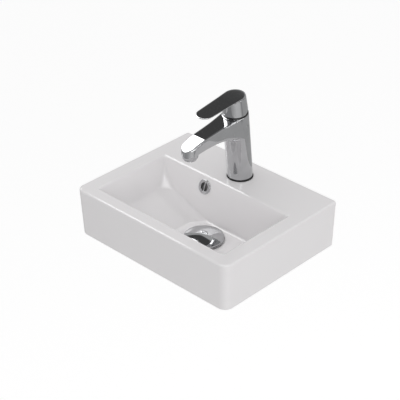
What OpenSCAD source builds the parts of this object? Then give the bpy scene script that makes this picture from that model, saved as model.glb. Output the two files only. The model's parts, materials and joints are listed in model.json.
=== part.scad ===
// Wall-hung handrinse basin with a single-lever mixer tap, a push-to-close waste and an overflow.
// Millimetres. +Z is up and -Y is the front. The origin is midway between the two wall bolt
// holes, on the flat back of the basin.

/* [Basin] */
// Width of the basin at the rim
basin_w = 350; // [340:1:420]
// Depth of the basin from the wall to the front edge
basin_d = 275; // [270:1:330]
// Height of the skirt
basin_h = 90; // [87:1:110]
// How far each side leans in from the rim to the bottom edge
side_taper = 2.8; // [1:0.1:6]
// How far the front leans in from the rim to the bottom edge
front_taper = 4; // [1:0.1:8]
// Radius of the two front corners in plan
front_corner_r = 16; // [12:0.5:22]
// Radius of the rounded top edge
rim_edge_r = 3.5; // [2:0.5:5]
// Thickness of the ceramic skirt and bowl
ceramic_t = 9; // [8:0.5:10]
// Thickness of the ceramic deck and rim
deck_t = 12; // [10:0.5:14]

/* [Bowl] */
// Depth of the tap deck behind the bowl
deck_d = 90; // [86:1:96]
// Width of the rim on the left and right of the bowl
side_rim = 29.5; // [27:0.5:36]
// Width of the rim in front of the bowl
front_rim = 26; // [25:0.5:34]
// Depth of the bowl floor below the rim
bowl_depth = 72; // [68:1:73]
// Lean of the back wall of the bowl, sideways per unit of height
back_lean = 0.35; // [0.25:0.01:0.4]
// Lean of the two side walls of the bowl
side_lean = 0.4; // [0.3:0.01:0.45]
// Lean of the front wall of the bowl
front_lean = 0.25; // [0.15:0.01:0.3]
// Height above the floor at which the long ramp on the left starts
ramp_h = 24; // [20:1:28]
// Slope of the ramp, height per unit of width
ramp_slope = 0.27; // [0.25:0.01:0.32]
// Fillet between the right wall and the floor
right_fillet_r = 38; // [30:1:42]
// Fillet between the back and front walls and the floor
floor_fillet_r = 6; // [4:0.5:12]
// Plan radius of the bowl corners at the rim
bowl_corner_r = 6.5; // [4:0.5:14]
// Plan radius of the bowl corners at the floor
bowl_floor_corner_r = 22; // [16:0.5:26]

/* [Wall fixing] */
// Distance between the two wall bolts
bolt_spacing = 200; // [180:1:240]
// Bolt line below the rim
bolt_drop = 45; // [42:1:50]
// Diameter of the bolt holes
bolt_hole_d = 16; // [12:0.5:20]

/* [Waste] */
// Waste to the right of the middle of the basin
drain_x = 18; // [10:1:26]
// Waste in front of the back edge of the bowl
drain_from_back = 69; // [66:1:76]
// Diameter of the waste hole in the ceramic
drain_hole_d = 46; // [45:0.5:48]
// Outer diameter of the waste flange
flange_d = 70; // [67:0.5:72]
// Thickness of the waste flange
flange_t = 2.2; // [2:0.1:3]
// Outer diameter of the waste tube in the ceramic
waste_tube_d = 41; // [40:0.1:41.5]
// Outer diameter of the waste tail, a G 1 1/4 thread
tail_d = 41.9; // [41.8:0.1:42.5]
// Wall of the waste tube
waste_wall = 2.2; // [2:0.1:2.8]
// Length of the plain tail below the backnut
tail_len = 26; // [22:1:34]
// Diameter of the waste cap
cap_d = 70; // [66:0.5:72]
// Height of the straight rim of the cap
cap_rim_t = 2.4; // [2:0.1:3]
// Rise of the domed top of the cap
cap_rise = 4.5; // [3:0.5:6]
// Travel of the cap between closed and open
cap_travel = 8; // [6:0.5:9]

/* [Overflow] */
// Overflow hole left of the middle of the basin
overflow_left = 39; // [36:1:44]
// Overflow hole below the rim
overflow_drop = 19; // [18:0.5:22]
// Outer diameter of the overflow ring
overflow_ring_d = 26.5; // [25:0.5:28]
// Diameter of the overflow hole in the ceramic
overflow_hole_d = 21; // [20:0.5:22]

/* [Tap body] */
// Tap centre in front of the wall
tap_from_wall = 49; // [48:0.5:52]
// Diameter of the tap hole in the deck
tap_hole_d = 35; // [33:0.5:36]
// Diameter of the tap column
column_d = 45; // [44:0.5:46]
// Forward lean of the tap in degrees
tap_lean = 6.5; // [4:0.5:8]
// Height of the column along its own axis
column_h = 129; // [126:1:140]
// Distance from the tap centre forward to the outlet
spout_reach = 125; // [118:1:136]
// Width of the spout
spout_w = 29; // [28.5:0.5:30]
// Height of the spout lip above the deck
outlet_h = 88; // [85:0.5:90]
// Bore of the spout lip for the aerator
aerator_bore_d = 23; // [22:0.1:23.2]

/* [Cartridge] */
// Bore of the cartridge seat in the column
seat_bore_d = 35.6; // [35.4:0.1:36]
// Outer diameter of the cartridge
cartridge_d = 34.8; // [34.4:0.1:35]
// Distance from the lift pin down to the ball of the spindle
spindle_arm = 18; // [17:0.5:18.5]
// Diameter of the lift pin
lift_pin_d = 4; // [3.4:0.1:4.4]
// Width of the square spindle
spindle_w = 8; // [7:0.1:8.4]

/* [Lever] */
// Lift of the lever in degrees
lift_angle = 20; // [15:1:20]
// Length of the lever from the tap axis to its tip
lever_reach = 86; // [76:1:100]
// Width of the lever at the hub
lever_w = 38; // [35:0.5:39]
// Width of the lever near its tip
tip_w = 31; // [26:0.5:34]
// Thickness of the lever blade
blade_t = 5; // [4:0.5:7]
// Height of the hub and blade together
hub_h = 32.7; // [31:0.1:38]
// Diameter of the hub at its lower edge
hub_d = 44; // [43.5:0.5:45]

/* [Fits] */
// Gap between pieces that are fitted together and stay put
seat_gap = 0.05; // [0.03:0.01:0.1]
// Radial gap between a turning piece and its bore
running_gap = 0.05; // [0.03:0.01:0.08]

/* [Hidden] */
$fn = 64;

chrome = [0.72, 0.73, 0.75];
steel = [0.62, 0.63, 0.65];
ceramic = [0.93, 0.93, 0.92];
brass = [0.78, 0.62, 0.32];
rubber = [0.10, 0.10, 0.11];
nylon = [0.90, 0.90, 0.88];
acetal = [0.25, 0.42, 0.62];
index_red = [0.70, 0.12, 0.12];

// Overlap of forms that join, reach of a cut past a face, and thickness of one level of an outline
eps = 0.01;
cut = 1;
slice_t = 0.02;
// Gap beside a seal that is squeezed between two pieces
seal_gap = 0.02;

// Basin heights, measured from the rim
floor_z = -bowl_depth;
under_z = -basin_h;
bolt_z = -bolt_drop;
back_wall_t = 12;
back_corner_r = 2;
back_edge = 0.15;
foot_edge_r = 1.5;
drain_boss_wall = 13;
drain_recess = 1.5;
ramp_bend = 6;
front_fillet_r = floor_fillet_r + 9;
bowl_levels = [0, 0.7, 2, 4, 7, 11, 16, 20, 22.5, 25, 28, 34, 45, bowl_depth + cut];
straight_from = max(25, right_fillet_r * (1 - side_lean / 2));

// Bowl outline at the rim
bowl_left = -(basin_w / 2 - side_rim);
bowl_right = basin_w / 2 - side_rim;
bowl_back = -deck_d;
bowl_front = -(basin_d - front_rim);
drain_y = bowl_back - drain_from_back;

// Overflow duct, behind the leaning back wall of the bowl
lean_angle = atan(back_lean);
overflow_y = bowl_back - back_lean * overflow_drop;
overflow_hole_r = overflow_hole_d / 2;
duct_gap = 9;
duct_wall = 5;
duct_half = 13;
duct_low = under_z + duct_wall;
duct_slot_h = 8;
duct_front = ceramic_t * cos(lean_angle);
duct_back_y = bowl_back + back_lean * duct_low + ceramic_t + duct_gap;

// Overflow ring and the sleeve that it plugs into
ring_face_t = 2;
ring_edge_r = 1.4;
ring_mouth_r = 0.7;
sleeve_in_r = 8;
sleeve_out_r = sleeve_in_r + 1.5;
sleeve_len = 6;
ring_bar_w = 2;
ring_bar_t = 2.4;

// Waste stack, from the floor of the bowl down
flange_r = flange_d / 2;
flange_seal_t = 1.2;
flange_edge_r = 1;
flange_low = floor_z - drain_recess + flange_seal_t + seat_gap;
flange_top = flange_low + flange_t;
funnel_h = 5;
funnel_out = 3.5;
waste_in_r = waste_tube_d / 2 - waste_wall;
waste_fit_r = waste_tube_d / 2 + seat_gap;
lower_gasket_t = 4;
gasket_cone_h = 3;
slide_washer_t = 1.5;
backnut_t = 12;
nut_flange_t = 2.5;
washer_r = 31;
lower_gasket_top = under_z - seat_gap;
slide_washer_top = lower_gasket_top - lower_gasket_t - seat_gap;
backnut_top = slide_washer_top - slide_washer_t - seat_gap;
backnut_low = backnut_top - backnut_t;
tail_top = backnut_low - 4;
tail_low = tail_top - tail_len;
slot_w = 14;
slot_top = duct_low + duct_slot_h - 1;
spider_t = 4;
spider_bar_w = 3;
spider_top = under_z - 6;
spider_low = spider_top - spider_t;

// Push-to-close barrel, spring, plunger and cap
barrel_r = 7.5;
barrel_top = flange_top - 6;
spigot_r = 5;
plunger_r = 3.4;
plunger_stud_r = 2.4;
plunger_bore_r = plunger_r + running_gap;
plunger_low = spider_top + 4;
spring_space = cap_travel + 3;
barrel_floor = plunger_low - spring_space;
barrel_floor_t = 2.5;
spring_wire_r = 0.55;
spring_coil_r = plunger_bore_r - spring_wire_r - 0.35;
spring_turns = 6;
spring_steps = 14;
spring_sides = 6;
cap_r = cap_d / 2;
cap_gap = 1.2;
cap_low = flange_top + cap_gap;
cap_boss_r = 6;
cap_boss_drop = 1;
cap_edge = 0.5;
cap_seal_r = 26;
cap_seal_w = 3.5;
cap_groove = 1;
stud_in_cap = 2;

// Tap base and its fixing through the deck
tap_y = -tap_from_wall;
column_r = column_d / 2;
gasket_t = 1.6;
gasket_out = 0.9;
inlet_r = 4.5;
inlet_len = 12;
inlet_x = 6.5;
inlet_y = -5.5;
waterway_r = 2.8;
stud_r = 3;
stud_y = 13;
stud_in = 12;
stud_tail = 22;
horseshoe_r = 23.5;
horseshoe_slot = 12;
horseshoe_t = 3;
plate_t = 2;
plate_r = horseshoe_r - 0.5;
stud_nut_r = 5.8;
stud_nut_h = 6;
plate_top = -deck_t - horseshoe_t - seat_gap;
stud_nut_top = plate_top - plate_t - seat_gap;
stud_low = stud_nut_top - stud_nut_h - stud_tail;

// Heights along the leaning axis of the tap
seat_r = seat_bore_d / 2;
seat_h = column_h - 29;
ring_t = 2.2;
ring_top = column_h + ring_t;
pin_h = ring_top - 0.2;
dome_r = 19.2;
dome_rise = 5.8;
dome_bore_r = 16.5;

// Cartridge stack above its seat
cartridge_r = cartridge_d / 2;
cartridge_wall = 1.6;
housing_in_r = cartridge_r - cartridge_wall;
port_seal_t = 1.2;
port_seal_w = 1.5;
base_low = seat_h + port_seal_t;
base_t = 2.6;
peg_r = 1.6;
peg_x = 13;
peg_h = 2.5;
disc_t = 2.5;
disc_r = 12.3;
carrier_r = 10.8;
fixed_low = base_low + base_t + seat_gap;
moving_low = fixed_low + disc_t + running_gap;
carrier_low = moving_low + disc_t + seat_gap;
ball_r = 2.6;
ball_gap = 0.12;
ball_h = pin_h - spindle_arm;
carrier_top = ball_h + ball_r;
half_swing = spindle_arm * sin(lift_angle / 2);
rail_x = 7;
rail_w = 1.8;
rail_len = 12;
rail_h = 1.2;
rail_gap = 0.1;
rotor_gap = 0.4;
rotor_low = carrier_top + rotor_gap;
rotor_flange_t = 3;
roof_low = rotor_low + rotor_flange_t + running_gap;
roof_t = 3;
roof_top = roof_low + roof_t;
neck_in_r = 10;
neck_out_r = 12.2;
neck_top = ring_top + 0.6;
rotor_neck_r = neck_in_r - running_gap;
rotor_top = pin_h + 4.4;
neck_groove_r = 8.7;
neck_seal_t = 2;
neck_seal_h = roof_top - 1;
nut_low = roof_top + seat_gap;
nut_in_r = neck_out_r + 0.2;
nut_top = column_h + 4.6;
nut_hex_r = dome_bore_r - 0.4;

// Water ports in the seat, and the pocket under the moving disc that joins them when the lever is up
inlet_port_x = 6.6;
inlet_port_y = -3.6;
outlet_port_y = 7.4;
outlet_port_r = 3.2;
ports = [[inlet_port_x, inlet_port_y, waterway_r], [-inlet_port_x, inlet_port_y, waterway_r],
    [0, outlet_port_y, outlet_port_r]];
// How far below the inlets' tops the leaning waterways start, so that the whole of each end is open
waterway_dip = waterway_r * tan(tap_lean + 3);
pocket_front_r = 5;
pocket_back_r = 4.6;
pocket_len = 5.6;
pocket_back_y = 3.6;
pocket_h = 1.4;

// Spindle, its pin and the slot in which it tilts
arm_r = 2;
pin_r = lift_pin_d / 2;
pin_seat_gap = 0.02;
pin_len = 2 * rotor_neck_r - 0.8;
slot_x = spindle_w / 2 + 0.15;
slot_y = spindle_w * 0.5 * cos(lift_angle) + (rotor_top - pin_h) * sin(lift_angle) + 1.3;

// Lever, which stays clear of the ring all through its lift
hub_r = hub_d / 2;
hub_top_r = lever_w / 2 + 0.4;
hub_low = ring_top + 0.8;
blade_top = hub_low + hub_h;
blade_low = blade_top - blade_t;
lift_clearance = 0.4;
dome_clearance = 0.5;
cavity_r = dome_r + dome_clearance;
cavity_h = 5.9;
cavity_top = pin_h + dome_r + dome_clearance;
socket_r = spindle_w / 2 + 4;
socket_low = rotor_top + 4;
spindle_top = blade_low - 3;
screw_r = 2.5;
screw_h = cavity_top + screw_r + 1.5;
screw_len = 6;
screw_socket_r = 1.45;
screw_socket_t = 2.5;
plug_r = 3.5;
plug_t = 3;
plug_y = hub_r - (hub_r - hub_top_r) * (screw_h - hub_low) / hub_h - plug_t;

// Spout, upright, measured from the deck and from the middle of the tap base
outlet_y = -spout_reach;
nozzle_r = spout_w / 2;
nozzle_h = 13;
nose_r = nozzle_r + 0.25;
lip_r = nozzle_r - 1.2;
lip_h = 6;
spout_root_y = -37;
spout_root_z = column_h * cos(tap_lean) - 2.9;
spout_in = 17;
spout_fall = 0.127;
crease_y = outlet_y + 22;
crease_z = spout_root_z - spout_fall * (spout_root_y - crease_y);
nose_slope = 0.2;
nose_bend = 0.0045;
nose_y = outlet_y - nozzle_r - 1;
belly_z = outlet_h + 10;
belly_y = spout_root_y - 45;
belly_bend = 0.0022;
arch_r = 14;
flare_y = -60;
flare_out = 1.3;
column_side_y = -14;
channel_r = 3.4;
channel_under = 14;
channel_low_y = -11;

// Aerator in the outlet
aerator_r = aerator_bore_d / 2;
aerator_proud = 3.4;
aerator_low = outlet_h - aerator_proud;
aerator_top = outlet_h + 8;
aerator_wall = 1.8;
aerator_lip_t = 1.4;
aerator_lip_w = 1.2;
aerator_washer_t = 1.8;
aerator_washer_w = 2.8;
chamber_r = aerator_r - 3;
chamber_h = 6;
insert_wall = 1.4;
jet_r = 0.9;
jets = 6;
jet_rows = [0.38, 0.72];

// Points of an arc about a centre, from one angle to another
function arc(cx, cy, r, a0, a1, n = 8) =
    [for (i = [0:n]) let (a = a0 + (a1 - a0) * i / n) [cx + r * cos(a), cy + r * sin(a)]];

// Outline round two circles, one at the origin and one at a distance towards the front
function two_circles(r, r_front, l) =
    let (b = asin((r - r_front) / l))
    concat(arc(0, 0, r, -b, 180 + b, 24), arc(0, -l, r_front, 180 + b, 360 - b, 24));

// How far a leaning wall with a fillet at its foot stands in from the rim, at height h above the floor
function wall_in(lean, r, h) =
    let (t = atan(lean))
    h >= r * (1 - sin(t)) ? lean * (bowl_depth - h)
        : lean * (bowl_depth - r) + r / cos(t) - sqrt(r * r - (r - h) * (r - h));

// The left wall is steep above the ramp and long and shallow below it, with a soft bend between
function left_in(h) =
    let (steep = side_lean * (bowl_depth - h),
        ramp = side_lean * (bowl_depth - ramp_h) + (ramp_h - h) / ramp_slope)
    (steep + ramp + sqrt(pow(steep - ramp, 2) + ramp_bend * ramp_bend)) / 2;

// Height of the underside of the spout at a distance in front of the tap base
function belly(y) = belly_z - belly_bend * pow(y - belly_y, 2);

// A point given along the leaning axis of the tap, in the upright frame on the deck
function upright(p) =
    [p[0], p[1] * cos(tap_lean) - p[2] * sin(tap_lean), p[1] * sin(tap_lean) + p[2] * cos(tap_lean)];

// Places what follows on the back wall of the bowl, with +Z square out of that wall
module at_overflow() {
    translate([-overflow_left, overflow_y, bolt_drop - overflow_drop])
        rotate([90 - lean_angle, 0, 0]) children();
}

// Places what follows on the axis of the waste, with heights from the rim
module at_drain() {
    translate([drain_x, drain_y, bolt_drop]) children();
}

// Places what follows upright on the deck, at the middle of the tap hole
module on_deck() {
    translate([0, tap_y, bolt_drop]) children();
}

// Places what follows on the leaning axis of the tap
module on_axis() {
    on_deck() rotate([tap_lean, 0, 0]) children();
}

// A flat ring from one height to another
module ring(outer, inner, low, high) {
    translate([0, 0, low]) difference() {
        cylinder(r = outer, h = high - low);
        translate([0, 0, -cut]) cylinder(r = inner, h = high - low + 2 * cut);
    }
}

// A round rod between two points
module rod(p, q, r) {
    d = q - p;
    translate(p) rotate([0, acos(d[2] / norm(d)), atan2(d[1], d[0])]) cylinder(r = r, h = norm(d));
}

// One level of a rounded plan outline, as thin corner discs for a hull: all four, or the left two alone
module outline(left, right, front, back, r_front, r_back, z, right_too = true) {
    for (x = right_too ? [[left, 1], [right, -1]] : [[left, 1]], y = [[front, 1, r_front], [back, -1, r_back]])
        translate([x[0] + x[1] * y[2], y[0] + y[1] * y[2], z])
            cylinder(r = y[2], h = slice_t, $fn = 32);
}

// The outside of the basin as one convex form
module basin_form() {
    foot_w = basin_w / 2 - side_taper;
    foot_y = front_taper - basin_d;
    hull() {
        for (a = [0, 22.5, 45, 67.5, 90]) {
            e = rim_edge_r * (1 - sin(a));
            outline(-basin_w / 2 + e, basin_w / 2 - e, -basin_d + e, -back_edge * e,
                front_corner_r - e / 2, back_corner_r, -rim_edge_r * (1 - cos(a)) - slice_t);
        }
        outline(-foot_w, foot_w, foot_y, 0, front_corner_r, back_corner_r, under_z + foot_edge_r);
        outline(-foot_w + foot_edge_r, foot_w - foot_edge_r, foot_y + foot_edge_r, 0,
            front_corner_r, back_corner_r, under_z);
    }
}

// The space inside the skirt, below the deck
module skirt_space() {
    hull() {
        for (s = [[-deck_t, 0], [under_z - cut, 1]])
            outline(-basin_w / 2 + ceramic_t + s[1] * side_taper,
                basin_w / 2 - ceramic_t - s[1] * side_taper,
                -basin_d + ceramic_t + s[1] * front_taper, -back_wall_t,
                front_corner_r - ceramic_t / 2, back_corner_r, s[0]);
    }
}

// The bowl as one convex form, grown sideways and downwards by the wall for its outside.
// The right wall is straight above its fillet, so its corners have no levels there
module bowl_form(grow) {
    hull() {
        for (h = bowl_levels) {
            k = min(1, h / bowl_depth);
            right_too = h <= straight_from || h > bowl_depth;
            r = bowl_floor_corner_r + (bowl_corner_r - bowl_floor_corner_r) * k + grow / 2;
            outline(bowl_left - grow + left_in(h), bowl_right + grow - wall_in(side_lean, right_fillet_r, h),
                bowl_front - grow + wall_in(front_lean, front_fillet_r, h),
                bowl_back + grow - wall_in(back_lean, floor_fillet_r, h),
                r, r, floor_z + h - grow * (1 - k * 0.9), right_too);
        }
    }
}

// Outline of the overflow duct, seen square to the back wall of the bowl
module duct_outline(grow) {
    top = overflow_hole_r + 1.5 + grow;
    left = -overflow_left - duct_half - grow;
    right = drain_x + duct_half + grow;
    foot = -bowl_depth - basin_h / 4;
    polygon([[left, top], [-overflow_left + duct_half + grow, top], [right, -bowl_depth / 2],
        [right, foot], [drain_x - 2 * duct_half - grow, foot], [left, -overflow_hole_r]]);
}

// The overflow duct: a flat leaning shaft behind the bowl, then a channel to the waste hole
module overflow_duct(grow) {
    intersection() {
        translate([0, overflow_y, -overflow_drop]) rotate([90 - lean_angle, 0, 0])
            translate([0, 0, -duct_front - duct_gap - grow])
                linear_extrude(duct_gap + 1.4 * grow) duct_outline(grow);
        translate([-basin_w / 2, -basin_d, duct_low - grow])
            cube([basin_w, basin_d, -duct_low + grow - deck_t / 2]);
    }
    translate([drain_x - duct_half - grow, drain_y, duct_low - grow])
        cube([2 * (duct_half + grow), duct_back_y - drain_y + grow, duct_slot_h + 2 * grow]);
}

module basin() {
    color(ceramic) translate([0, 0, bolt_drop]) difference() {
        union() {
            difference() {
                basin_form();
                skirt_space();
            }
            intersection() {
                union() {
                    bowl_form(ceramic_t);
                    translate([drain_x, drain_y, under_z])
                        cylinder(d = drain_hole_d + 2 * drain_boss_wall, h = basin_h - bowl_depth + cut);
                    overflow_duct(duct_wall);
                }
                basin_form();
            }
        }
        bowl_form(0);
        translate([drain_x, drain_y, under_z - cut]) cylinder(d = drain_hole_d, h = basin_h);
        translate([drain_x, drain_y, floor_z - drain_recess]) cylinder(r = flange_r + 1, h = bowl_depth);
        overflow_duct(0);
        translate([-overflow_left, overflow_y, -overflow_drop]) rotate([90 - lean_angle, 0, 0])
            translate([0, 0, -duct_front - cut]) cylinder(r = overflow_hole_r, h = duct_front + 10);
        translate([0, tap_y, -deck_t - cut]) cylinder(d = tap_hole_d, h = deck_t + 2 * cut);
        for (s = [-1, 1])
            translate([s * bolt_spacing / 2, cut, bolt_z]) rotate([90, 0, 0])
                cylinder(d = bolt_hole_d, h = back_wall_t + 2 * cut);
    }
}

module overflow_ring() {
    face_r = overflow_ring_d / 2;
    color(chrome) at_overflow() translate([0, 0, seat_gap]) {
        rotate_extrude() polygon(concat(
            [[sleeve_in_r, -sleeve_len], [sleeve_out_r, -sleeve_len], [sleeve_out_r, 0], [face_r, 0]],
            arc(face_r - ring_edge_r, ring_face_t - ring_edge_r, ring_edge_r, 0, 90, 5),
            arc(sleeve_in_r + ring_mouth_r, ring_face_t - ring_mouth_r, ring_mouth_r, 90, 180, 3)));
        translate([-ring_bar_w / 2, -sleeve_in_r - eps, ring_face_t / 2 - ring_bar_t])
            cube([ring_bar_w, 2 * (sleeve_in_r + eps), ring_bar_t]);
    }
}

module overflow_sleeve() {
    color(nylon) at_overflow()
        ring(overflow_hole_r - seat_gap, sleeve_out_r + seat_gap, -duct_front - cut, -seat_gap);
}

module waste_body() {
    color(chrome) at_drain() {
        difference() {
            union() {
                rotate_extrude() polygon(concat([[0, flange_low], [flange_r - flange_edge_r, flange_low]],
                    arc(flange_r - flange_edge_r, flange_top - flange_edge_r, flange_edge_r, -60, 90, 5),
                    [[0, flange_top]]));
                translate([0, 0, tail_top]) cylinder(d = waste_tube_d, h = flange_low - tail_top + eps);
                translate([0, 0, tail_low]) cylinder(d = tail_d, h = tail_len);
            }
            translate([0, 0, tail_low - cut]) cylinder(r = waste_in_r, h = flange_top - tail_low + 2 * cut);
            translate([0, 0, flange_top - funnel_h])
                cylinder(r1 = waste_in_r, r2 = waste_in_r + funnel_out, h = funnel_h + eps);
            for (a = [0, 90, 180, 270]) rotate([0, 0, a])
                translate([-slot_w / 2, 0, slot_top - duct_slot_h]) cube([slot_w, waste_tube_d, duct_slot_h]);
        }
        difference() {
            union() {
                for (a = [45, 135]) rotate([0, 0, a])
                    translate([-waste_in_r - waste_wall / 2, -spider_bar_w / 2, spider_low])
                        cube([2 * waste_in_r + waste_wall, spider_bar_w, spider_t]);
                translate([0, 0, spider_low]) cylinder(r = barrel_r, h = spider_t);
            }
            translate([0, 0, spider_low - cut]) cylinder(r = spigot_r + seat_gap, h = spider_t + 2 * cut);
        }
    }
}

module flange_seal() {
    seal_low = floor_z - drain_recess;
    color(rubber) at_drain() ring(flange_r - 1, waste_fit_r, seal_low + seal_gap, seal_low + flange_seal_t);
}

module lower_gasket() {
    cone_r = drain_hole_d / 2 - 0.4;
    color(rubber) at_drain() difference() {
        union() {
            translate([0, 0, lower_gasket_top - lower_gasket_t]) cylinder(r = washer_r, h = lower_gasket_t);
            translate([0, 0, lower_gasket_top - eps])
                cylinder(r1 = cone_r, r2 = cone_r - gasket_cone_h / 3, h = gasket_cone_h);
        }
        translate([0, 0, lower_gasket_top - lower_gasket_t - cut])
            cylinder(r = waste_fit_r, h = lower_gasket_t + gasket_cone_h + 2 * cut);
    }
}

module slide_washer() {
    color(nylon) at_drain()
        ring(washer_r, waste_fit_r, slide_washer_top - slide_washer_t, slide_washer_top);
}

module backnut() {
    color(brass) at_drain() difference() {
        union() {
            translate([0, 0, backnut_low]) cylinder(r = washer_r - 2, h = backnut_t, $fn = 6);
            translate([0, 0, backnut_top - nut_flange_t]) cylinder(r = washer_r, h = nut_flange_t);
        }
        translate([0, 0, backnut_low - cut]) cylinder(r = waste_fit_r, h = backnut_t + 2 * cut);
    }
}

module click_barrel() {
    shoulder = spider_top + seat_gap;
    color(brass) at_drain() difference() {
        union() {
            translate([0, 0, shoulder]) cylinder(r = barrel_r, h = barrel_top - shoulder);
            translate([0, 0, barrel_floor - barrel_floor_t])
                cylinder(r = spigot_r, h = shoulder + cut - barrel_floor + barrel_floor_t);
        }
        translate([0, 0, barrel_floor]) cylinder(r = plunger_bore_r, h = barrel_top - barrel_floor + cut);
    }
}

// The spring under the plunger, one wire swept along a helix
module click_spring() {
    low = barrel_floor + spring_wire_r + seat_gap;
    rise = plunger_low - barrel_floor - 2 * (spring_wire_r + seat_gap);
    rings = spring_turns * spring_steps;
    last = rings * spring_sides;
    points = [for (k = [0:rings]) for (j = [0:spring_sides - 1])
        let (a = 360 * k / spring_steps, b = 360 * j / spring_sides, r = spring_coil_r + spring_wire_r * cos(b))
        [r * cos(a), r * sin(a), low + rise * k / rings + spring_wire_r * sin(b)]];
    walls = [for (k = [0:rings - 1]) for (j = [0:spring_sides - 1])
        let (p = k * spring_sides + j, q = k * spring_sides + (j + 1) % spring_sides)
        each [[p, q, p + spring_sides], [q, q + spring_sides, p + spring_sides]]];
    ends = [for (j = [1:spring_sides - 2]) each [[0, j + 1, j], [last, last + j, last + j + 1]]];
    color(steel) at_drain() polyhedron(points, concat(walls, ends));
}

module click_plunger() {
    shoulder = flange_top - cap_boss_drop - seat_gap;
    color(brass) at_drain() {
        translate([0, 0, plunger_low]) cylinder(r = plunger_r, h = shoulder - plunger_low);
        translate([0, 0, shoulder - eps]) cylinder(r = plunger_stud_r, h = cap_low + stud_in_cap - shoulder);
    }
}

module waste_cap() {
    rim_top = cap_low + cap_rim_t;
    dome_radius = (cap_r * cap_r + cap_rise * cap_rise) / (2 * cap_rise);
    dome_half = asin((cap_r - cap_edge) / dome_radius);
    boss_low = flange_top - cap_boss_drop;
    color(chrome) at_drain() difference() {
        union() {
            rotate_extrude() polygon(concat([[0, cap_low], [cap_r - cap_edge, cap_low],
                [cap_r, cap_low + cap_edge], [cap_r, rim_top - cap_edge]],
                arc(0, rim_top + cap_rise - dome_radius, dome_radius, 90 - dome_half, 90, 12)));
            translate([0, 0, boss_low]) cylinder(r = cap_boss_r, h = cap_low - boss_low + eps);
        }
        translate([0, 0, boss_low - cut])
            cylinder(r = plunger_stud_r + seat_gap, h = cap_low + stud_in_cap + 0.5 - boss_low + cut);
        ring(cap_seal_r + seat_gap, cap_seal_r - cap_seal_w - seat_gap, cap_low - cut, cap_low + cap_groove);
    }
}

module cap_seal() {
    color(rubber) at_drain()
        ring(cap_seal_r, cap_seal_r - cap_seal_w, flange_top + seat_gap, cap_low + cap_groove - seat_gap);
}

// Side view of the spout: a straight top, a falling nose, and a bent belly back to the column
module spout_side() {
    back_y = spout_root_y + spout_in;
    nose = [for (i = [1:7]) let (u = (crease_y - nose_y) * i / 7)
        [crease_y - u, crease_z - nose_slope * u - nose_bend * u * u]];
    under = [for (i = [0:9]) let (y = outlet_y + (back_y - outlet_y) * i / 9) [y, belly(y)]];
    polygon(concat([[back_y, spout_root_z - 1], [spout_root_y, spout_root_z], [crease_y, crease_z]],
        nose, [[nose_y, outlet_h + 8]], under));
}

// Plan of the spout: it flares into the column and ends in a half round
module spout_plan() {
    side = [[column_r - 0.3, column_side_y], [nose_r + flare_out, flare_y], [nose_r, outlet_y]];
    polygon(concat(side, arc(0, outlet_y, nose_r, -7.5, -172.5, 22),
        [for (i = [2:-1:0]) [-side[i][0], side[i][1]]]));
}

// The hollow curve round the column that carries its front up into the belly of the spout
module spout_arch() {
    end = 90 - tap_lean - atan(2 * belly_bend * (flare_y / 2 - belly_y));
    end_r = column_r + arch_r * (1 - cos(end));
    end_y = -(end_r + belly_z * sin(tap_lean)) / cos(tap_lean);
    end_h = belly(end_y) * cos(tap_lean) - end_y * sin(tap_lean);
    low = end_h - arch_r * sin(end);
    rotate([tap_lean, 0, 0]) rotate_extrude() polygon(concat(
        [[column_r - 2, seat_h + 2], [column_r - 2, low]],
        arc(column_r + arch_r, low, arch_r, 180, 180 - end, 8), [[end_r, seat_h + 2]]));
}

// Outside of the tap: the leaning column, the spout and the upright nozzle under its nose
module tap_form() {
    intersection() {
        rotate([tap_lean, 0, 0]) translate([0, 0, -column_r]) cylinder(r = column_r, h = column_h + column_r);
        translate([-column_d, -column_h, gasket_t]) cube([2 * column_d, 2 * column_h, 2 * column_h]);
    }
    intersection() {
        union() {
            rotate([90, 0, 90]) translate([0, 0, -column_r]) linear_extrude(column_d) spout_side();
            spout_arch();
        }
        linear_extrude(2 * column_h) spout_plan();
    }
    translate([0, outlet_y, outlet_h]) rotate_extrude()
        polygon([[0, 0], [lip_r, 0], [nozzle_r, lip_h], [nozzle_r, nozzle_h], [0, nozzle_h]]);
}

// Waterways: two inlets up to the seat, and the outlet down, forward and up into the spout
module waterways() {
    under = seat_h - channel_under;
    over = outlet_port_r * 0.8;
    bend = [0, spout_root_y - 1.5, belly_z + 5];
    for (s = [-1, 1])
        rod([s * inlet_x, inlet_y, gasket_t + inlet_len - waterway_dip],
            upright([s * inlet_port_x, inlet_port_y, seat_h + cut]), waterway_r);
    rod(upright([0, outlet_port_y, seat_h + cut]), upright([0, outlet_port_y, under - over]), outlet_port_r);
    rod(upright([0, outlet_port_y + over, under]), upright([0, channel_low_y - over, under]), outlet_port_r);
    rod(upright([0, channel_low_y, under - cut]), bend, outlet_port_r);
    rod(bend + [0, over, -cut / 2], [0, outlet_y + 7, aerator_top + 8.5], channel_r);
}

module tap_body() {
    color(chrome) on_deck() difference() {
        tap_form();
        waterways();
        rotate([tap_lean, 0, 0]) {
            translate([0, 0, seat_h]) cylinder(r = seat_r, h = column_h);
            for (s = [-1, 1]) translate([s * peg_x, 0, seat_h - peg_h - cut])
                cylinder(r = peg_r + seat_gap, h = peg_h + 2 * cut);
        }
        for (s = [-1, 1]) translate([s * inlet_x, inlet_y, gasket_t - cut])
            cylinder(r = inlet_r, h = inlet_len + cut);
        translate([0, stud_y, gasket_t - cut]) cylinder(r = stud_r + seat_gap, h = stud_in + 2 * cut);
        translate([0, outlet_y, outlet_h - cut]) cylinder(r = aerator_r, h = aerator_top + 3 * cut - outlet_h);
        translate([0, outlet_y, aerator_top]) cylinder(r = chamber_r, h = chamber_h);
    }
}

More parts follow.
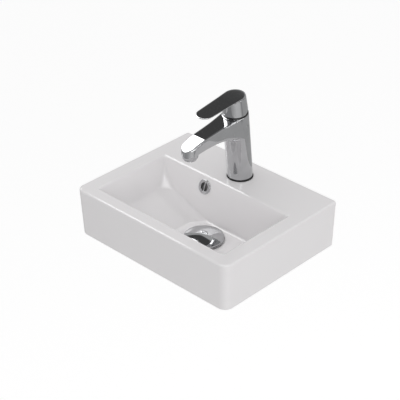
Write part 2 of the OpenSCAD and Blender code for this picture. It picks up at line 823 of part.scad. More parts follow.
module base_gasket() {
    color(rubber) on_deck()
        ring(column_r + gasket_out, tap_hole_d / 2 + 0.8, seal_gap, gasket_t - seal_gap);
}

module fixing_stud() {
    color(steel) on_deck() translate([0, stud_y, stud_low])
        cylinder(r = stud_r, h = gasket_t + stud_in - stud_low);
}

// A horseshoe washer below the deck, open towards the front for the supply hoses
module horseshoe(r, high, t) {
    on_deck() translate([0, 0, high - t]) difference() {
        cylinder(r = r, h = t);
        translate([0, inlet_y, -cut]) cylinder(r = horseshoe_slot, h = t + 2 * cut);
        translate([-horseshoe_slot, -2 * r, -cut]) cube([2 * horseshoe_slot, 2 * r + inlet_y, t + 2 * cut]);
        translate([0, stud_y, -cut]) cylinder(r = stud_r + 0.3, h = t + 2 * cut);
    }
}

module rubber_horseshoe() {
    color(rubber) horseshoe(horseshoe_r, -deck_t - seat_gap, horseshoe_t - seat_gap);
}

module metal_horseshoe() {
    color(steel) horseshoe(plate_r, plate_top, plate_t);
}

module stud_nut() {
    color(brass) on_deck() translate([0, stud_y, stud_nut_top - stud_nut_h]) difference() {
        cylinder(r = stud_nut_r, h = stud_nut_h, $fn = 6);
        translate([0, 0, -cut]) cylinder(r = stud_r + seat_gap, h = stud_nut_h + 2 * cut);
    }
}

module cartridge_base() {
    color(nylon) on_axis() difference() {
        union() {
            translate([0, 0, base_low]) cylinder(r = cartridge_r, h = base_t);
            for (s = [-1, 1]) translate([s * peg_x, 0, seat_h - peg_h])
                cylinder(r = peg_r, h = peg_h + port_seal_t + eps);
        }
        for (p = ports) translate([p[0], p[1], base_low - cut]) cylinder(r = p[2], h = base_t + 2 * cut);
    }
}

module port_seals() {
    color(rubber) on_axis() for (p = ports) translate([p[0], p[1], 0])
        ring(p[2] + port_seal_w, p[2] + seat_gap, seat_h + seal_gap, base_low - seal_gap);
}

module fixed_disc() {
    color(ceramic) on_axis() difference() {
        translate([0, 0, fixed_low]) cylinder(r = housing_in_r - seat_gap, h = disc_t);
        for (p = ports) translate([p[0], p[1], fixed_low - cut]) cylinder(r = p[2], h = disc_t + 2 * cut);
    }
}

module moving_disc() {
    color(ceramic) on_axis() translate([0, half_swing, moving_low]) difference() {
        cylinder(r = disc_r, h = disc_t);
        translate([0, pocket_back_y, -cut]) linear_extrude(pocket_h + cut)
            polygon(two_circles(pocket_back_r, pocket_front_r, pocket_len));
    }
}

module disc_carrier() {
    carrier_h = carrier_top - carrier_low;
    color(acetal) on_axis() translate([0, half_swing, carrier_low]) {
        difference() {
            cylinder(r = carrier_r, h = carrier_h);
            translate([0, 0, carrier_h - 2 * ball_r - 0.3]) cylinder(r = ball_r + ball_gap, h = carrier_h);
        }
        for (s = [-1, 1]) translate([s * rail_x - rail_w / 2, -rail_len / 2, carrier_h - eps])
            cube([rail_w, rail_len, rail_h + eps]);
    }
}

module cartridge_housing() {
    color(acetal) on_axis() rotate_extrude() polygon([
        [housing_in_r, fixed_low], [cartridge_r, fixed_low], [cartridge_r, roof_top], [neck_out_r, roof_top],
        [neck_out_r, neck_top], [neck_in_r, neck_top], [neck_in_r, roof_low], [housing_in_r, roof_low]]);
}

module cartridge_rotor() {
    groove_w = rail_w + 2 * rail_gap;
    color(nylon) on_axis() difference() {
        union() {
            translate([0, 0, rotor_low]) cylinder(r = housing_in_r - running_gap, h = rotor_flange_t);
            translate([0, 0, rotor_low]) cylinder(r = rotor_neck_r, h = rotor_top - rotor_low);
        }
        translate([-slot_x, -slot_y, rotor_low - cut])
            cube([2 * slot_x, 2 * slot_y, rotor_top - rotor_low + 2 * cut]);
        for (s = [-1, 1]) translate([s * rail_x - groove_w / 2, -housing_in_r, rotor_low - cut])
            cube([groove_w, 2 * housing_in_r, cut + rail_h]);
        ring(rotor_neck_r + cut, neck_groove_r, neck_seal_h - neck_seal_t / 2, neck_seal_h + neck_seal_t / 2);
        translate([-neck_in_r, 0, pin_h]) rotate([0, 90, 0])
            cylinder(r = pin_r + pin_seat_gap, h = 2 * neck_in_r);
    }
}

module neck_seal() {
    half_t = neck_seal_t / 2 - seat_gap;
    color(rubber) on_axis()
        ring(neck_in_r - seal_gap, neck_groove_r + seal_gap, neck_seal_h - half_t, neck_seal_h + half_t);
}

module spindle_pin() {
    color(steel) on_axis() translate([-pin_len / 2, 0, pin_h]) rotate([0, 90, 0])
        cylinder(r = pin_r, h = pin_len);
}

// The spindle: a square bar up into the lever, and a leaning arm down to a ball
module lever_spindle() {
    half_w = spindle_w / 2;
    color(brass) on_axis() translate([0, 0, pin_h]) difference() {
        union() {
            translate([-half_w, -half_w, 0]) cube([spindle_w, spindle_w, spindle_top - pin_h]);
            translate([-half_w, 0, 0]) rotate([0, 90, 0]) cylinder(r = half_w, h = spindle_w);
            rotate([180 + lift_angle / 2, 0, 0]) {
                cylinder(r = arm_r, h = spindle_arm);
                translate([0, 0, spindle_arm]) sphere(r = ball_r);
            }
        }
        translate([-spindle_w, 0, 0]) rotate([0, 90, 0]) cylinder(r = pin_r + running_gap, h = 2 * spindle_w);
    }
}

module cartridge_nut() {
    color(brass) on_axis() difference() {
        union() {
            translate([0, 0, nut_low]) cylinder(r = seat_r - seat_gap, h = column_h - nut_low);
            translate([0, 0, column_h - eps]) cylinder(r = nut_hex_r, h = nut_top - column_h, $fn = 6);
        }
        translate([0, 0, nut_low - cut]) cylinder(r = nut_in_r, h = nut_top - nut_low + 2 * cut);
    }
}

// The dark ring between column and lever, domed about the lift pin
module dome_ring() {
    ring_low = column_h + seat_gap;
    color(rubber) on_axis() rotate_extrude() polygon(concat(
        [[dome_bore_r, ring_low], [hub_r, ring_low], [hub_r, ring_top]],
        arc(0, pin_h, dome_r, asin((ring_top - pin_h) / dome_r), asin(dome_rise / dome_r), 8),
        [[dome_bore_r, pin_h + dome_rise]]));
}

// The hollow under the hub, with the socket for the spindle left standing in it
module hub_cavity() {
    rotate_extrude() polygon([[0, hub_low - cut], [cavity_r, hub_low - cut], [cavity_r, pin_h + cavity_h],
        [socket_r + 3, cavity_top], [socket_r, cavity_top], [socket_r, socket_low], [0, socket_low]]);
}

module lever_handle() {
    hole_w = spindle_w + 2 * seat_gap;
    relief = ring_top + lift_clearance - pin_h;
    color(chrome) on_axis() difference() {
        union() {
            translate([0, 0, hub_low]) cylinder(r1 = hub_r, r2 = hub_top_r, h = hub_h);
            translate([0, 0, blade_low]) linear_extrude(blade_t)
                polygon(two_circles(lever_w / 2, tip_w / 2, lever_reach - tip_w / 2));
        }
        hub_cavity();
        translate([-hole_w / 2, -hole_w / 2, socket_low - cut])
            cube([hole_w, hole_w, spindle_top + seat_gap - socket_low + cut]);
        translate([0, 0, pin_h]) rotate([lift_angle, 0, 0])
            translate([-hub_d, -hub_d, relief - hub_d]) cube([2 * hub_d, 2 * hub_d, hub_d]);
        translate([0, hole_w / 2 - cut, screw_h]) rotate([-90, 0, 0])
            cylinder(r = screw_r + seat_gap, h = hub_r);
        translate([0, plug_y, screw_h]) rotate([-90, 0, 0]) cylinder(r = plug_r + seat_gap, h = hub_r);
    }
}

module grub_screw() {
    color(steel) on_axis() translate([0, spindle_w / 2 + 2 * seat_gap, screw_h]) rotate([-90, 0, 0])
        difference() {
            cylinder(r = screw_r, h = screw_len);
            translate([0, 0, screw_len - screw_socket_t]) cylinder(r = screw_socket_r, h = screw_len, $fn = 6);
        }
}

module index_plug() {
    color(index_red) on_axis() translate([0, plug_y + seat_gap, screw_h]) rotate([-90, 0, 0])
        cylinder(r = plug_r, h = plug_t);
}

module aerator_shell() {
    outer = aerator_r - seat_gap;
    inner = outer - aerator_wall;
    color(chrome) on_deck() translate([0, outlet_y, 0]) {
        ring(outer, inner, aerator_low + aerator_lip_t, aerator_top);
        ring(outer - 0.4, inner - aerator_lip_w, aerator_low, aerator_low + aerator_lip_t + eps);
    }
}

module aerator_insert() {
    low = aerator_low + aerator_lip_t + seat_gap;
    r = aerator_r - aerator_wall - 2 * seat_gap;
    color(nylon) on_deck() translate([0, outlet_y, low]) difference() {
        cylinder(r = r, h = aerator_top - low);
        translate([0, 0, 2]) cylinder(r = r - insert_wall, h = aerator_top);
        for (i = [0:jets - 1], q = jet_rows) rotate([0, 0, 360 * (i + q) / jets])
            translate([q * r, 0, -cut]) cylinder(r = jet_r, h = 2 + 2 * cut);
    }
}

module aerator_washer() {
    color(rubber) on_deck() translate([0, outlet_y, 0])
        ring(aerator_r - 0.2, aerator_r - aerator_washer_w, aerator_top + seal_gap,
            aerator_top + aerator_washer_t);
}

basin();
overflow_ring();
overflow_sleeve();
waste_body();
flange_seal();
lower_gasket();
slide_washer();
backnut();
click_barrel();
click_spring();
click_plunger();
waste_cap();
cap_seal();
tap_body();
base_gasket();
fixing_stud();
rubber_horseshoe();
metal_horseshoe();
stud_nut();
cartridge_base();
port_seals();
fixed_disc();
moving_disc();
disc_carrier();
cartridge_housing();
cartridge_rotor();
neck_seal();
spindle_pin();
lever_spindle();
cartridge_nut();
dome_ring();
lever_handle();
grub_screw();
index_plug();
aerator_shell();
aerator_insert();
aerator_washer();
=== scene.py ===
import json
import math

import bmesh
import bpy
import numpy as np
from mathutils import Matrix, Vector

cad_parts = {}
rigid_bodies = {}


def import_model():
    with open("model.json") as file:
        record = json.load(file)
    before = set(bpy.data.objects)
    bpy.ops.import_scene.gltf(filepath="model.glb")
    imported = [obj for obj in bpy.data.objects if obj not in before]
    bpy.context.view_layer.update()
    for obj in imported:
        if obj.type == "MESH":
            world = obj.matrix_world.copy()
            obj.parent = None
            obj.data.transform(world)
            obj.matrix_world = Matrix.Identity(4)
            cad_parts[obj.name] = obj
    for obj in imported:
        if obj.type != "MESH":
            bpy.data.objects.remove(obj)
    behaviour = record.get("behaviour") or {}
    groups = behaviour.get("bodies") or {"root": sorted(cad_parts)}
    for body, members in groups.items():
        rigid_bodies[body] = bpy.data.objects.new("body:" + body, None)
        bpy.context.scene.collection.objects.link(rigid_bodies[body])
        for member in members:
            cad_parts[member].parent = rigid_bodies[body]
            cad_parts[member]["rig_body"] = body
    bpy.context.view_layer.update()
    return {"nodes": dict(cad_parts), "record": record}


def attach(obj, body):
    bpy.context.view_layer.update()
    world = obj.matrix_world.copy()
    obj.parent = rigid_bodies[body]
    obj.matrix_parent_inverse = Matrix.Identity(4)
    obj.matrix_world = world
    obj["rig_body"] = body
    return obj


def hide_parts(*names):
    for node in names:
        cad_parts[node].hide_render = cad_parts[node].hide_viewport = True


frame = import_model()
nodes = frame["nodes"]
millimetre = 0.001  # the pieces' sizes are in millimetres; the studio's, and depths in textures, are in metres
rimHeight = 45  # the rim above the row's origin
basinHeight = 90  # from the foot of the skirt to the rim
tapY = -49  # middle of the tap hole, from the wall
tapLean = math.radians(6.5)

print("frame loaded:", len(nodes), "nodes")


# Maths that works on numpy arrays and on node sockets alike
class Wire:
    def __init__(self, maker, socket):
        self.maker = maker
        self.socket = socket

    def step(self, operation, *others):
        made = self.maker.add("ShaderNodeMath", {"operation": operation}, dict(enumerate((self,) + others)))
        return Wire(self.maker, made.outputs[0])

    def turned(self, operation, other):
        made = self.maker.add("ShaderNodeMath", {"operation": operation}, {0: other, 1: self})
        return Wire(self.maker, made.outputs[0])

    def __add__(self, other):
        return self.step("ADD", other)

    def __radd__(self, other):
        return self.step("ADD", other)

    def __sub__(self, other):
        return self.step("SUBTRACT", other)

    def __rsub__(self, other):
        return self.turned("SUBTRACT", other)

    def __mul__(self, other):
        return self.step("MULTIPLY", other)

    def __rmul__(self, other):
        return self.step("MULTIPLY", other)

    def __neg__(self):
        return self.step("MULTIPLY", -1.0)

    def __gt__(self, other):
        return self.step("GREATER_THAN", other)

    def __lt__(self, other):
        return self.step("LESS_THAN", other)


class Maker:
    def __init__(self, tree):
        self.tree = tree

    def add(self, kind, settings=None, sockets=None):
        node = self.tree.nodes.new(kind)
        for key, value in (settings or {}).items():
            if key == "stops":
                self.fillRamp(node.color_ramp, value)
            else:
                setattr(node, key, value)
        for key, value in (sockets or {}).items():
            if isinstance(value, Wire):
                self.tree.links.new(value.socket, node.inputs[key])
            else:
                node.inputs[key].default_value = value
        return node

    def wire(self, node, output=0):
        return Wire(self, node.outputs[output])

    def fillRamp(self, ramp, stops):
        while len(ramp.elements) < len(stops):
            ramp.elements.new(0.5)
        for element, (place, shade) in zip(ramp.elements, stops):
            element.position = place
            element.color = (*shade, 1)


def isWire(*values):
    return any(isinstance(v, Wire) for v in values)


def pick(a, b, operation, plain):
    if not isWire(a, b):
        return plain(a, b)
    if isinstance(a, Wire):
        return a.step(operation, b)
    return b.step(operation, a)


def larger(a, b):
    return pick(a, b, "MAXIMUM", np.maximum)


def smaller(a, b):
    return pick(a, b, "MINIMUM", np.minimum)


def root(a):
    return a.step("SQRT") if isWire(a) else np.sqrt(a)


def size(a):
    return a.step("ABSOLUTE") if isWire(a) else np.abs(a)


def span(a, b):
    return root(a * a + b * b)


def between(a, low, high):
    return smaller(larger(a, low), high)


def softLarger(a, b, soft):
    return (a + b + root((a - b) * (a - b) + soft * soft)) * 0.5


def softSmaller(a, b, soft):
    return (a + b - root((a - b) * (a - b) + soft * soft)) * 0.5


# Materials
def newMaterial(name, baseColor, metallic, roughness, extra=None):
    material = bpy.data.materials.new(name)
    material.use_nodes = True
    maker = Maker(material.node_tree)
    shader = material.node_tree.nodes["Principled BSDF"]
    shader.inputs["Base Color"].default_value = (*baseColor, 1)
    shader.inputs["Metallic"].default_value = metallic
    shader.inputs["Roughness"].default_value = roughness
    for key, value in (extra or {}).items():
        shader.inputs[key].default_value = value
    return material, maker, shader


def coordinates(maker):
    return maker.wire(maker.add("ShaderNodeTexCoord"), "Object")


def noise(maker, scale, detail=3.0, rough=0.5, vector=None):
    made = maker.add("ShaderNodeTexNoise", {}, {
        "Vector": vector or coordinates(maker), "Scale": scale, "Detail": detail, "Roughness": rough})
    return maker.wire(made, "Fac")


def blendColor(maker, factor, a, b):
    made = maker.add("ShaderNodeMix", {"data_type": "RGBA"}, {0: factor, 6: (*a, 1), 7: (*b, 1)})
    return maker.wire(made, 2)


def feed(maker, shader, name, wire):
    maker.tree.links.new(wire.socket, shader.inputs[name])


def bump(maker, shader, height, strength, distance):
    made = maker.add("ShaderNodeBump", {}, {"Height": height, "Strength": strength, "Distance": distance})
    feed(maker, shader, "Normal", maker.wire(made))


glaze = {
    "color": (0.885, 0.868, 0.876),
    "cloud": (0.870, 0.854, 0.862),
    "cloudScale": 9,
    "roughness": 0.07,
    "smear": 0.03,  # how far the roughness changes over the glaze
    "smearScale": 60,
    "ior": 1.65,
    "waveScale": 28,
    "waveDepth": 0.00006,
    "waveStrength": 0.25,
    "bare": (0.70, 0.685, 0.655),  # unglazed ceramic on the wall face and the foot
    "bareDark": (0.62, 0.605, 0.575),
    "bareScale": 400,
    "bareRoughness": 0.75,
    "bareDepth": 0.00012,  # how far from these faces the glaze stops
    "grainScale": 900,
    "grainHeight": 1.5,
}


def makeGlaze():
    material, maker, shader = newMaterial(
        "glazedCeramic", glaze["color"], 0, glaze["roughness"], {"IOR": glaze["ior"]})
    parts = maker.add("ShaderNodeSeparateXYZ", {}, {0: coordinates(maker)})
    y = maker.wire(parts, 1)
    z = maker.wire(parts, 2)
    foot = z < (rimHeight - basinHeight) * millimetre + glaze["bareDepth"]
    bare = larger(y > -glaze["bareDepth"], foot)
    glazed = blendColor(maker, noise(maker, glaze["cloudScale"], 2), glaze["color"], glaze["cloud"])
    unglazed = blendColor(maker, noise(maker, glaze["bareScale"], 4), glaze["bare"], glaze["bareDark"])
    shade = maker.add("ShaderNodeMix", {"data_type": "RGBA"}, {0: bare, 6: glazed, 7: unglazed})
    feed(maker, shader, "Base Color", maker.wire(shade, 2))
    smooth = glaze["roughness"] + glaze["smear"] * noise(maker, glaze["smearScale"], 2)
    feed(maker, shader, "Roughness", smooth + bare * (glaze["bareRoughness"] - glaze["roughness"]))
    grain = noise(maker, glaze["grainScale"], 3) * glaze["grainHeight"]
    wave = noise(maker, glaze["waveScale"], 1.5) + bare * grain
    bump(maker, shader, wave, glaze["waveStrength"], glaze["waveDepth"])
    return material


plated = {
    "hazeScale": 45, "haze": 0.03, "fineScale": 700, "fine": 0.02, "smoothest": 0.02,
    "dim": 0.93, "dimFrom": 0.35, "dimGain": 2.5,
    "waveScale": 30, "waveStrength": 0.15, "waveDepth": 0.00001,
}


def makePlated(name, color, roughness):
    material, maker, shader = newMaterial(name, color, 1, roughness)
    haze = noise(maker, plated["hazeScale"], 3)
    fine = noise(maker, plated["fineScale"], 2)
    rough = roughness + plated["haze"] * (haze - 0.5) + plated["fine"] * (fine - 0.5)
    feed(maker, shader, "Roughness", larger(rough, plated["smoothest"]))
    dim = tuple(c * plated["dim"] for c in color)
    share = between((haze - plated["dimFrom"]) * plated["dimGain"], 0, 1)
    feed(maker, shader, "Base Color", blendColor(maker, share, color, dim))
    bump(maker, shader, noise(maker, plated["waveScale"], 1), plated["waveStrength"], plated["waveDepth"])
    return material


turned = {
    "grooveScale": 2600, "groove": 0.12, "stretch": (0.04, 0.04, 1.0), "depth": 0.00002, "strength": 0.25,
    "tarnishScale": 60, "tarnish": 0.82,
}


def makeTurned(name, color, roughness):
    material, maker, shader = newMaterial(name, color, 1, roughness)
    stretched = maker.add("ShaderNodeMapping", {}, {0: coordinates(maker), "Scale": turned["stretch"]})
    grooves = noise(maker, turned["grooveScale"], 2, 0.6, maker.wire(stretched))
    feed(maker, shader, "Roughness", roughness + turned["groove"] * (grooves - 0.5))
    dim = tuple(c * turned["tarnish"] for c in color)
    feed(maker, shader, "Base Color", blendColor(maker, noise(maker, turned["tarnishScale"], 4), color, dim))
    bump(maker, shader, grooves, turned["strength"], turned["depth"])
    return material


moulded = {"grain": 0.12, "cloudScale": 70, "cloud": 0.84, "strength": 0.3}


def makeMoulded(name, color, roughness, grainScale=900, depth=0.00003):
    material, maker, shader = newMaterial(name, color, 0, roughness)
    grain = noise(maker, grainScale, 3)
    feed(maker, shader, "Roughness", roughness + moulded["grain"] * (grain - 0.5))
    dim = tuple(c * moulded["cloud"] for c in color)
    feed(maker, shader, "Base Color", blendColor(maker, noise(maker, moulded["cloudScale"], 3), color, dim))
    bump(maker, shader, grain, moulded["strength"], depth)
    return material


finishes = {
    "glazed_ceramic": makeGlaze(),
    "chrome": makePlated("chrome", (0.56, 0.565, 0.575), 0.06),
    "brass": makeTurned("brass", (0.72, 0.54, 0.24), 0.3),
    "steel": makeTurned("steel", (0.56, 0.56, 0.57), 0.32),
    "black_rubber": makeMoulded("blackRubber", (0.022, 0.022, 0.023), 0.55, 700),
    "black_plastic": makeMoulded("blackPlastic", (0.02, 0.02, 0.021), 0.25, 1200, 0.00001),
    "white_nylon": makeMoulded("whiteNylon", (0.78, 0.78, 0.75), 0.42),
    "blue_acetal": makeMoulded("blueAcetal", (0.09, 0.20, 0.42), 0.38),
    "disc_ceramic": makeMoulded("discCeramic", (0.66, 0.65, 0.62), 0.16, 1500, 0.000005),
    "index_red": makeMoulded("indexRed", (0.52, 0.03, 0.03), 0.3),
}
print("materials made:", len(finishes))


# Mesh helpers
def loose(name, data):
    piece = bpy.data.objects.new(name, data)
    bpy.context.scene.collection.objects.link(piece)
    return piece


def addObject(name, mesh, slot):
    piece = loose(name, mesh)
    mesh.materials.clear()
    mesh.materials.append(finishes[slot])
    return piece


def finish(piece, body, *replaced):
    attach(piece, body)
    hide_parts(*replaced)
    return piece


def meshFrom(name, points, faces):
    mesh = bpy.data.meshes.new(name)
    mesh.from_pydata([tuple(p) for p in points], [], faces)
    mesh.update()
    return mesh


def toRow(points):  # from heights above the rim, in millimetres, to the row's metres
    return (np.asarray(points, float) + (0, 0, rimHeight)) * millimetre


def applied(piece):  # the piece's mesh with its modifiers applied
    bpy.context.view_layer.update()
    evaluated = piece.evaluated_get(bpy.context.evaluated_depsgraph_get())
    mesh = bpy.data.meshes.new_from_object(evaluated)
    piece.modifiers.clear()
    old = piece.data
    piece.data = mesh
    bpy.data.meshes.remove(old)
    return piece


def smoothShade(mesh, angle):  # faces that meet at more than this angle keep a sharp edge
    for polygon in mesh.polygons:
        polygon.use_smooth = True
    mesh.set_sharp_from_angle(angle=math.radians(angle))


def weighted(piece):
    modifier = piece.modifiers.new("weighted", "WEIGHTED_NORMAL")
    modifier.keep_sharp = True
    modifier.weight = 80
    return applied(piece)


def arcPoints(cx, cy, r, start, end, steps):
    turn = np.radians(np.linspace(start, end, steps + 1))
    return [(cx + r * math.cos(a), cy + r * math.sin(a)) for a in turn]


def outlineRing(left, right, front, back, radii, z, steps):
    cornerSteps, sideSteps = steps
    rightFront, rightBack, leftBack, leftFront = radii
    corners = [(right - rightFront, front + rightFront, rightFront, -90),
               (right - rightBack, back - rightBack, rightBack, 0),
               (left + leftBack, back - leftBack, leftBack, 90),
               (left + leftFront, front + leftFront, leftFront, 180)]
    ring = []
    for index, (cx, cy, r, start) in enumerate(corners):
        arc = arcPoints(cx, cy, r, start, start + 90, cornerSteps)
        ring += arc
        nx, ny, nr, nstart = corners[(index + 1) % 4]
        following = arcPoints(nx, ny, nr, nstart, nstart + 90, 1)[0]
        for step in range(1, sideSteps):
            share = step / sideSteps
            ring.append((arc[-1][0] + (following[0] - arc[-1][0]) * share,
                         arc[-1][1] + (following[1] - arc[-1][1]) * share))
    return [(x, y, z) for x, y in ring]


cleaning = {"hair": 1e-7, "merge": 1e-6, "seam": 2e-6}  # metres


def cleaned(mesh, weld, thin=0, turnOut=True):
    edit = bmesh.new()
    edit.from_mesh(mesh)
    bmesh.ops.remove_doubles(edit, verts=edit.verts, dist=weld)
    if thin:
        bmesh.ops.dissolve_degenerate(edit, edges=edit.edges, dist=thin)
    if turnOut:
        bmesh.ops.recalc_face_normals(edit, faces=edit.faces)
    edit.to_mesh(mesh)
    edit.free()
    return mesh


def bandFaces(low, high, count):  # the quads between two rings of points
    return [(low + i, low + (i + 1) % count, high + (i + 1) % count, high + i) for i in range(count)]


def loft(name, rings):
    count = len(rings[0])
    points = np.array([p for ring in rings for p in ring])
    last = (len(rings) - 1) * count
    faces = []
    for low in range(0, last, count):
        faces += bandFaces(low, low + count, count)
    faces.append(tuple(range(count - 1, -1, -1)))
    faces.append(tuple(range(last, last + count)))
    return cleaned(meshFrom(name, toRow(points), faces), cleaning["hair"])


def lathe(name, loop, place, steps=96):  # turns a closed profile round +Z
    points = []
    for step in range(steps):
        turn = 2 * math.pi * step / steps
        points += [place @ Vector((r * math.cos(turn), r * math.sin(turn), z)) for r, z in loop]
    count = len(loop)
    faces = []
    for step in range(steps):
        faces += bandFaces(step * count, (step + 1) % steps * count, count)
    return cleaned(meshFrom(name, toRow(points), faces), cleaning["seam"], cleaning["hair"])


upright = Matrix.Translation((0, tapY, 0))
onAxis = upright @ Matrix.Rotation(tapLean, 4, "X")


# The basin: one glazed casting
basin = {
    # the block: how far its foot stands in from its rim, its radii, and the steps that round its edges
    "width": 350, "depth": 275, "sideTaper": 2.8, "frontTaper": 4,
    "cornerR": 16, "backCornerR": 2, "rimR": 3.5, "footR": 1.5, "backRound": 0.15,
    "footTurns": (0, 30, 60, 90), "rimTurns": (0, 12, 24, 36, 48, 60, 72, 82, 90), "blockSteps": (20, 4),
    "wall": 9, "deck": 12, "backWall": 12, "skirtInnerR": 4, "skirtSteps": (10, 2),
    # the round under the deck: how far below it, share of the skirt's taper, how far in
    "skirtRound": ((6, 0.1, 0), (3, 0.05, 0.8), (0.8, 0, 3), (0, 0, 6)),
    # the bowl: its edges at the rim, how far each wall leans in per unit of depth, its ramp and its fillets
    "left": -145.5, "right": 145.5, "front": -249, "back": -90, "bowlDepth": 72, "bowlSteps": (14, 16),
    "backLean": 0.35, "sideLean": 0.4, "frontLean": 0.25,
    "rampHeight": 24, "rampSlope": 0.27, "rampBend": 6,
    "rightFillet": 38, "backFillet": 6, "frontFillet": 15,
    # the radii of its corners at the rim and the floor; the ramp's two grow faster, over cornerRise
    "cornerTop": 3.5, "cornerFloor": 12, "cornerRamp": 30, "cornerRise": 48, "cornerBend": 2.4,
    "levels": 46, "levelBend": 1.9, "leastStep": 0.4,
    "lipR": 3.5, "lipTurns": (12, 24, 36, 48, 60, 70, 80), "lipOut": 1.02,
    "bellyThinning": 0.9,  # share of the wall that the belly's underside loses towards the rim
    # the holes and what they seat
    "drain": (18, -159), "drainHole": 23, "drainChamfer": 1, "boss": 36, "bossTop": -70,
    "recess": 1.5, "recessR": 36, "recessMouth": ((0, -0.6), (0.3, -0.2), (1.0, 0.05)),
    "overflow": (-39, -96.65, -19), "overflowHole": 10.5, "tapHole": 17.5,
    "holeMouth": ((0, -0.8), (0.25, -0.25), (0.9, 0.05)),  # how far out and up, as the glaze rounds it
    "boltX": 100, "boltZ": -45, "boltR": 8, "boltChamfer": 0.6, "boltSteps": 64,
    "sharpAngle": 32,
}
past = 1  # how far a cutting shape goes past what it cuts
proud = 0.05  # how far it stands off a face that it leaves standing


def wallIn(lean, fillet, h):
    tilt = math.atan(lean)
    if h >= fillet * (1 - math.sin(tilt)):
        return lean * (basin["bowlDepth"] - h)
    return (lean * (basin["bowlDepth"] - fillet) + fillet / math.cos(tilt)
            - math.sqrt(fillet ** 2 - (fillet - h) ** 2))


def leftIn(h):
    steep = basin["sideLean"] * (basin["bowlDepth"] - h)
    ramp = (basin["sideLean"] * (basin["bowlDepth"] - basin["rampHeight"])
            + (basin["rampHeight"] - h) / basin["rampSlope"])
    return (steep + ramp + math.sqrt((steep - ramp) ** 2 + basin["rampBend"] ** 2)) / 2


def bowlRing(h, grow, flare, z):
    share = min(1, h / basin["bowlDepth"])
    rise = min(1, max(0, (h - basin["rampHeight"]) / basin["cornerRise"]))
    extra = grow / 2 + flare
    corner = basin["cornerFloor"] + (basin["cornerTop"] - basin["cornerFloor"]) * share + extra
    wider = (basin["cornerRamp"] - basin["cornerTop"]) * (1 - rise) ** basin["cornerBend"]
    rampCorner = basin["cornerTop"] + wider + extra
    radii = (corner, corner, rampCorner, rampCorner)
    out = grow + flare
    left = basin["left"] - out + leftIn(h)
    right = basin["right"] + out - wallIn(basin["sideLean"], basin["rightFillet"], h)
    front = basin["front"] - out + wallIn(basin["frontLean"], basin["frontFillet"], h)
    back = basin["back"] + out - wallIn(basin["backLean"], basin["backFillet"], h)
    return outlineRing(left, right, front, back, radii, z, basin["bowlSteps"])


def bowlRings(grow):  # the bowl's inside, or with room to grow the outside of its wall
    depth = basin["bowlDepth"]
    lip = basin["lipR"]
    top = depth - (lip if grow == 0 else 0)
    levels = [depth * (i / basin["levels"]) ** basin["levelBend"] for i in range(basin["levels"] + 1)]
    rings = []
    for h in [level for level in levels if level < top - basin["leastStep"]] + [top]:
        thick = grow * (1 - basin["bellyThinning"] * min(1, h / depth))
        rings.append(bowlRing(h, grow, 0, h - depth - thick))
    if grow == 0:
        for turn in np.radians(basin["lipTurns"]):
            h = depth - lip + lip * math.sin(turn)
            rings.append(bowlRing(min(h, depth), 0, lip * (1 - math.cos(turn)), h - depth))
        rings.append(bowlRing(depth, 0, lip * basin["lipOut"], proud))
        rings.append(bowlRing(depth, 0, lip * basin["lipOut"], 4 * past))
    return rings


def blockRings():
    half = basin["width"] / 2
    back = basin["backCornerR"]
    rings = []
    for turn in np.radians(basin["footTurns"]):
        inset = basin["footR"] * (1 - math.sin(turn))
        side = half - basin["sideTaper"] - inset
        rings.append(outlineRing(
            -side, side, -basin["depth"] + basin["frontTaper"] + inset, 0,
            (basin["cornerR"], back, back, basin["cornerR"]),
            -basinHeight + basin["footR"] * (1 - math.cos(turn)), basin["blockSteps"]))
    for turn in np.radians(basin["rimTurns"]):
        inset = basin["rimR"] * (1 - math.cos(turn))
        corner = basin["cornerR"] - inset / 2
        rings.append(outlineRing(
            -half + inset, half - inset, -basin["depth"] + inset, -basin["backRound"] * inset,
            (corner, back, back, corner), -basin["rimR"] * (1 - math.sin(turn)), basin["blockSteps"]))
    return rings


def skirtRings():
    wall = basin["wall"]
    corner = basin["cornerR"] - wall / 2
    inner = basin["skirtInnerR"]
    levels = [(-basinHeight - past, 1, 0)]
    levels += [(-basin["deck"] - below, share, inset) for below, share, inset in basin["skirtRound"]]
    rings = []
    for z, share, inset in levels:
        side = basin["width"] / 2 - wall - share * basin["sideTaper"] - inset
        rings.append(outlineRing(
            -side, side, -basin["depth"] + wall + share * basin["frontTaper"] + inset,
            -basin["backWall"] - inset, (corner, inner, inner, corner), z, basin["skirtSteps"]))
    return rings


duct = {
    "half": 13, "wall": 5, "gap": 9, "overlap": 0.4,
    "roof": -6, "low": -85, "slot": 8,  # heights below the rim, and of the way into the drain
    "head": 12, "elbow": -10.5, "bend": -36, "foot": -94.5,  # along the bowl's back wall, from the overflow
}


def prism(name, outline, low, high, place):
    count = len(outline)
    points = [place @ Vector((x, y, z)) for z in (low, high) for x, y in outline]
    faces = [tuple(range(count - 1, -1, -1)), tuple(range(count, 2 * count))] + bandFaces(0, count, count)
    return cleaned(meshFrom(name, toRow(points), faces), cleaning["hair"])


def boxMesh(name, low, high):
    return prism(name, [(low[0], low[1]), (high[0], low[1]), (high[0], high[1]), (low[0], high[1])],
                 low[2], high[2], Matrix.Identity(4))


def boolean(base, operation, tool):
    modifier = base.modifiers.new(operation, "BOOLEAN")
    modifier.operation = operation
    modifier.object = tool
    modifier.solver = "MANIFOLD"
    applied(base)
    bpy.data.objects.remove(tool)
    return base


wallTilt = math.atan(basin["backLean"])
atOverflow = Matrix.Translation(basin["overflow"]) @ Matrix.Rotation(math.pi / 2 - wallTilt, 4, "X")
ductFront = basin["wall"] * math.cos(wallTilt)


